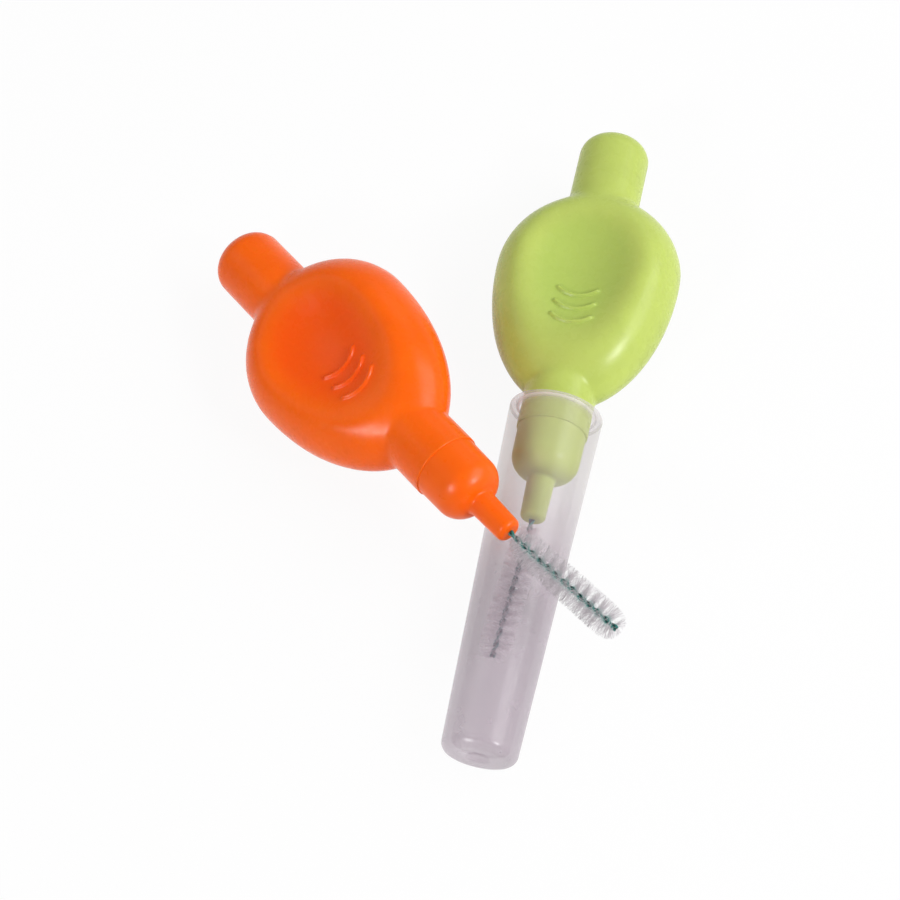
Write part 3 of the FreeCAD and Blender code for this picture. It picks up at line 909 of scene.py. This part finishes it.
def soft_box(name, stage, azimuth, elevation, size, watts):
    """Lamp with a rectangular soft face, turned to the middle of the picture."""
    lamp = bpy.data.lights.new(name, "AREA")
    lamp.shape = "RECTANGLE"
    lamp.size, lamp.size_y = size
    lamp.energy = watts
    box = bpy.data.objects.new(name, lamp)
    aimed(box, from_view(stage, azimuth, elevation, LAMP_DISTANCE), stage.look_at)
    return box


# Operators

class BRUSHPAIR_OT_stage(bpy.types.Operator):
    """Lay the floor, set the lights and the camera"""
    bl_idname = "brushpair.stage"
    bl_label = "Stage"

    def execute(self, context):
        scene = context.scene
        stage = scene.brushpair_stage
        scene.view_settings.view_transform = "Standard"
        mesh = bpy.data.meshes.new("studio_sweep")
        bm = sweep_mesh(stage.floor_level, stage.sweep_radius, stage.sweep_height, stage.sweep_round)
        bm.to_mesh(mesh)
        bm.free()
        mesh.materials.append(floor_material(tuple(stage.floor_colour), stage.floor_white))
        sweep = bpy.data.objects.new("studio_sweep", mesh)
        scene.collection.objects.link(sweep)

        world = bpy.data.worlds.new("studio")
        world.use_nodes = True
        scene.world = world
        sky = world.node_tree.nodes["Background"]
        sky.inputs["Color"].default_value = (1, 1, 1, 1)
        sky.inputs["Strength"].default_value = stage.sky

        for name, (azimuth, elevation, size, watts) in LAMPS.items():
            box = soft_box(name, stage, azimuth, elevation, size, getattr(stage, watts))
            box.visible_diffuse = watts != "glint_power"

        lens = bpy.data.cameras.new("camera")
        lens.lens = stage.lens
        lens.sensor_width = SENSOR_WIDTH
        lens.clip_start = NEAREST_SEEN
        camera = bpy.data.objects.new("camera", lens)
        elevation = math.degrees(stage.camera_elevation)
        eye = from_view(stage, TOWARD_CAMERA, elevation, stage.camera_distance)
        aimed(camera, eye, stage.look_at)
        scene.camera = camera
        return {"FINISHED"}


def both_brushes(context):
    """Shared sizes in millimetres, and the names, place and bend of the capped and the open brush."""
    sizes = in_millimetres(context.scene.brushpair_brush)
    pair = context.scene.brushpair_pair
    capped = SimpleNamespace(name="capped", body="capped_brush", tone="lime", seed=5,
                             place=brush_place("capped_tail", pair.capped_roll, sizes),
                             bend=pair.capped_bend, side=pair.capped_bend_side)
    loose = SimpleNamespace(name="open", body="open_brush", tone="orange", seed=11,
                            place=brush_place("open_tail", pair.open_roll, sizes),
                            bend=pair.open_bend, side=pair.open_bend_side)
    return sizes, (capped, loose)


class BRUSHPAIR_OT_grips(bpy.types.Operator):
    """Model the two soft grips"""
    bl_idname = "brushpair.grips"
    bl_label = "Grips"

    def execute(self, context):
        sizes, brushes = both_brushes(context)
        finish = context.scene.brushpair_finish
        pattern = grip_mesh(sizes)
        for brush in brushes:
            tone = tuple(getattr(finish, brush.tone))
            # The darker tone of the rests is painted shade
            shade_tone = tuple(getattr(finish, brush.tone + "_deep"))
            material = soft_plastic(brush.tone + "_grip", tone, shade_tone, GLOW[brush.tone],
                                    finish.grip_roughness)
            finished(pattern.copy(), brush.name + "_grip_skin", brush.place, material, brush.body,
                     brush.name + "_grip", sharp=180)
        pattern.free()
        return {"FINISHED"}


class BRUSHPAIR_OT_noses(bpy.types.Operator):
    """Model the two noses with their nipples"""
    bl_idname = "brushpair.noses"
    bl_label = "Noses"

    def execute(self, context):
        sizes, brushes = both_brushes(context)
        finish = context.scene.brushpair_finish
        for brush in brushes:
            tone = tuple(getattr(finish, brush.tone))
            material = hard_plastic(brush.tone + "_nose", tone, GLOW[brush.tone])
            finished(nose_mesh(sizes), brush.name + "_nose_skin", brush.place, material, brush.body,
                     brush.name + "_nose")
        return {"FINISHED"}


class BRUSHPAIR_OT_stems(bpy.types.Operator):
    """Model the twisted wires"""
    bl_idname = "brushpair.stems"
    bl_label = "Stems"

    def execute(self, context):
        sizes, brushes = both_brushes(context)
        finish = context.scene.brushpair_finish
        material = coated_wire(tuple(finish.wire), tuple(finish.wire_deep))
        for brush in brushes:
            bm = stem_mesh(sizes)
            bent(bm, brush.bend, brush.side, sizes)
            finished(bm, brush.name + "_stem_wire", brush.place, material, brush.body,
                     brush.name + "_stem")
        return {"FINISHED"}


class BRUSHPAIR_OT_bristles(bpy.types.Operator):
    """Model the filaments"""
    bl_idname = "brushpair.bristles"
    bl_label = "Bristles"

    def execute(self, context):
        sizes, brushes = both_brushes(context)
        finish = context.scene.brushpair_finish
        tones = (finish.filament, finish.filament_root, finish.filament_cap_lit)
        material = clear_nylon(*(tuple(tone) for tone in tones))
        for brush in brushes:
            bm = bristle_mesh(sizes, brush.seed, finish.filament_cap_light_share if brush.name == "capped" else 0.0)
            bent(bm, brush.bend, brush.side, sizes)
            finished(bm, brush.name + "_bristle_filaments", brush.place, material, brush.body,
                     brush.name + "_bristles", sharp=80)
        return {"FINISHED"}


class BRUSHPAIR_OT_cap(bpy.types.Operator):
    """Model the travel cap"""
    bl_idname = "brushpair.cap"
    bl_label = "Travel cap"

    def execute(self, context):
        sizes, (capped, _) = both_brushes(context)
        cap = in_millimetres(context.scene.brushpair_cap)
        finish = context.scene.brushpair_finish
        material = frosted_plastic(tuple(finish.cap), tuple(finish.cap_rim), tuple(finish.cap_edge))
        finished(cap_mesh(sizes, cap), "travel_cap_shell", capped.place, material, "cap", "travel_cap",
                 sharp=30)
        return {"FINISHED"}


class BRUSHPAIR_PT_panel(bpy.types.Panel):
    """Lists the steps that build the pair"""
    bl_idname = "BRUSHPAIR_PT_panel"
    bl_label = "Brush Pair"
    bl_space_type = "VIEW_3D"
    bl_region_type = "UI"
    bl_category = "Brush Pair"

    def draw(self, context):
        column = self.layout.column(align=True)
        for step in STEPS:
            column.operator(step.bl_idname)


STEPS = (
    BRUSHPAIR_OT_stage,
    BRUSHPAIR_OT_grips,
    BRUSHPAIR_OT_noses,
    BRUSHPAIR_OT_stems,
    BRUSHPAIR_OT_bristles,
    BRUSHPAIR_OT_cap,
)
GROUPS = {
    "brushpair_brush": BrushSettings,
    "brushpair_cap": CapSettings,
    "brushpair_pair": PairSettings,
    "brushpair_finish": FinishSettings,
    "brushpair_stage": StageSettings,
}


def register():
    for item in (*GROUPS.values(), *STEPS, BRUSHPAIR_PT_panel):
        bpy.utils.register_class(item)
    for name, group in GROUPS.items():
        setattr(bpy.types.Scene, name, PointerProperty(type=group))


def unregister():
    for name in GROUPS:
        delattr(bpy.types.Scene, name)
    for item in reversed((*GROUPS.values(), *STEPS, BRUSHPAIR_PT_panel)):
        bpy.utils.unregister_class(item)


def main():
    register()
    bpy.ops.brushpair.stage()
    bpy.ops.brushpair.grips()
    bpy.ops.brushpair.noses()
    bpy.ops.brushpair.stems()
    bpy.ops.brushpair.bristles()
    bpy.ops.brushpair.cap()


if __name__ == "__main__":
    main()
